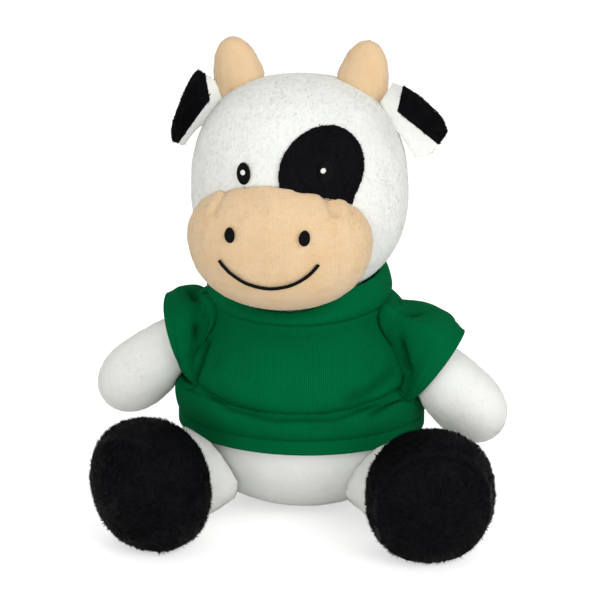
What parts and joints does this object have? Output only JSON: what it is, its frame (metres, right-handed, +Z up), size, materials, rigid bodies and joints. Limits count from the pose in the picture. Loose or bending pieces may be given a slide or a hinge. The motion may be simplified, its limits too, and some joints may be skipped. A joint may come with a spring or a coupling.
{
  "type": "plush cow",
  "caption": "Seated stuffed toy cow of short white plush in a knitted T-shirt, with a peach muzzle and horns, lined ears, swinging limbs and a turning head",
  "frame": {"origin": "on the surface the toy sits on, in the middle of the flat seat of the torso", "axes": "+Z up, the face looks along -Y, the toy's own left side on +X"},
  "size_m": [0.1739, 0.1354, 0.197],
  "materials": {
    "white_plush": "short dense white plush pile with a slight lie",
    "peach_plush": "very short peach velour pile",
    "black_plush": "deep black plush pile, longer on the feet",
    "black_thread": "black satin stitch",
    "white_thread": "white satin stitch",
    "green_knit": "bottle green cotton jersey with fine vertical wales"
  },
  "bodies": {
    "torso": {"torso": "white_plush", "shirt_front": "green_knit", "shirt_back": "green_knit", "sleeve_right": "green_knit", "sleeve_left": "green_knit", "neckband": "green_knit"},
    "neck": {"neck": "white_plush"},
    "head": {"head": "white_plush", "muzzle": "peach_plush", "eye_patch": "black_plush", "eye_right": "black_thread", "eye_left": "black_thread", "eye_glint_right": "white_thread", "eye_glint_left": "white_thread", "nostril_right": "black_thread", "nostril_left": "black_thread", "smile": "black_thread", "horn_right": "peach_plush", "horn_left": "peach_plush"},
    "ear_right": {"ear_right": "white_plush", "ear_lining_right": "black_plush"},
    "ear_left": {"ear_left": "white_plush", "ear_lining_left": "black_plush"},
    "arm_right": {"arm_right": "white_plush"},
    "arm_left": {"arm_left": "white_plush"},
    "leg_right": {"leg_right": "white_plush", "foot_right": "black_plush", "sole_right": "black_plush"},
    "leg_left": {"leg_left": "white_plush", "foot_left": "black_plush", "sole_left": "black_plush"},
    "tail": {"tail": "white_plush", "tail_tuft": "black_plush"}
  },
  "joints": [
    {"name": "head_turn", "type": "hinge", "parent": "torso", "child": "neck", "pos_m": [0.0015, -0.005, 0.092], "axis": [0, 0, 1], "range_deg": [-20, 20], "stiffness_Nm_per_rad": 0.8},
    {"name": "head_nod", "type": "hinge", "parent": "neck", "child": "head", "pos_m": [0.0015, -0.005, 0.092], "axis": [-1, 0, 0], "range_deg": [-2, 4.5], "stiffness_Nm_per_rad": 4},
    {"name": "ear_flop_right", "type": "hinge", "parent": "head", "child": "ear_right", "pos_m": [-0.03835, -0.00281, 0.17217], "axis": [0, 1, 0], "range_deg": [-10, 10], "stiffness_Nm_per_rad": 0.02},
    {"name": "ear_flop_left", "type": "hinge", "parent": "head", "child": "ear_left", "pos_m": [0.03852, -0.00805, 0.17032], "axis": [0, -1, 0], "range_deg": [-10, 10], "stiffness_Nm_per_rad": 0.02},
    {"name": "arm_swing_right", "type": "hinge", "parent": "torso", "child": "arm_right", "pos_m": [-0.036, -0.008, 0.081], "axis": [-1, 0, 0], "range_deg": [-12, 20], "stiffness_Nm_per_rad": 0.3, "deforming": ["sleeve_right"]},
    {"name": "arm_swing_left", "type": "hinge", "parent": "torso", "child": "arm_left", "pos_m": [0.036, -0.008, 0.081], "axis": [-1, 0, 0], "range_deg": [-12, 20], "stiffness_Nm_per_rad": 0.3, "deforming": ["sleeve_left"]},
    {"name": "leg_spread_right", "type": "hinge", "parent": "torso", "child": "leg_right", "pos_m": [-0.034, -0.014, 0.018], "axis": [0, 0, 1], "range_deg": [-12, 12], "stiffness_Nm_per_rad": 0.5},
    {"name": "leg_spread_left", "type": "hinge", "parent": "torso", "child": "leg_left", "pos_m": [0.034, -0.014, 0.018], "axis": [0, 0, -1], "range_deg": [-12, 12], "stiffness_Nm_per_rad": 0.5},
    {"name": "tail_swing", "type": "hinge", "parent": "torso", "child": "tail", "pos_m": [0, 0.038, 0.032], "axis": [0, 1, 0], "range_deg": [-20, 20], "stiffness_Nm_per_rad": 0.02}
  ]
}
